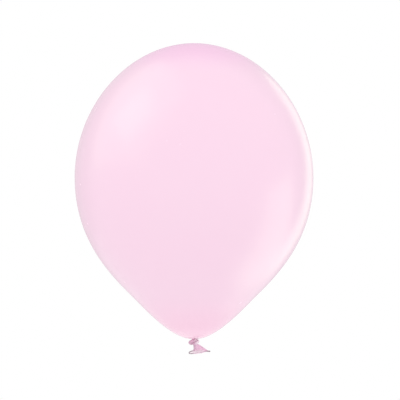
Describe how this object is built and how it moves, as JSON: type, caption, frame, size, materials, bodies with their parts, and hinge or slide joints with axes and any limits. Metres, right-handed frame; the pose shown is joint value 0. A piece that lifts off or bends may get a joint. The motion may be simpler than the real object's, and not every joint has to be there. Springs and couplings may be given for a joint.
{
  "type": "latex balloon",
  "caption": "Inflated pastel pink latex balloon, teardrop body, tied in an overhand knot, with a short flared neck tail and rolled lip.",
  "frame": {"origin": "the tie, where the body narrows to the knot, on the body's axis", "axes": "+Z along the body's axis from the tie to the crown; -Y is the front, to which the neck's free end leans; +X is the viewer's right"},
  "size_m": [0.2999, 0.3, 0.3917],
  "materials": {
    "stretched_skin": "stretched pastel latex, soft satin gloss",
    "neck_skin": "unstretched pastel latex, satin, fine creases",
    "lip_skin": "rolled pastel latex bead, satin"
  },
  "bodies": {
    "envelope": {"envelope": "stretched_skin"},
    "neck_root": {"neck_root": "neck_skin"},
    "knot": {"knot": "neck_skin"},
    "tail": {"neck_tail": "neck_skin", "rolled_lip": "lip_skin"}
  },
  "joints": [
    {"name": "neck_twist", "type": "hinge", "parent": "envelope", "child": "neck_root", "pos_m": [0, 0, 0], "axis": [0, 0, 1], "range_deg": [-180, 180], "stiffness_Nm_per_rad": 0.001},
    {"name": "knot_sway", "type": "hinge", "parent": "neck_root", "child": "knot", "pos_m": [0, 0, 0.0005], "axis": [0, 1, 0], "range_deg": [-18, 18], "stiffness_Nm_per_rad": 0.002},
    {"name": "tail_flap", "type": "hinge", "parent": "knot", "child": "tail", "pos_m": [0.00198, -0.00114, -0.0091], "axis": [1, 0, 0], "range_deg": [-45, 45], "stiffness_Nm_per_rad": 0.0005}
  ]
}
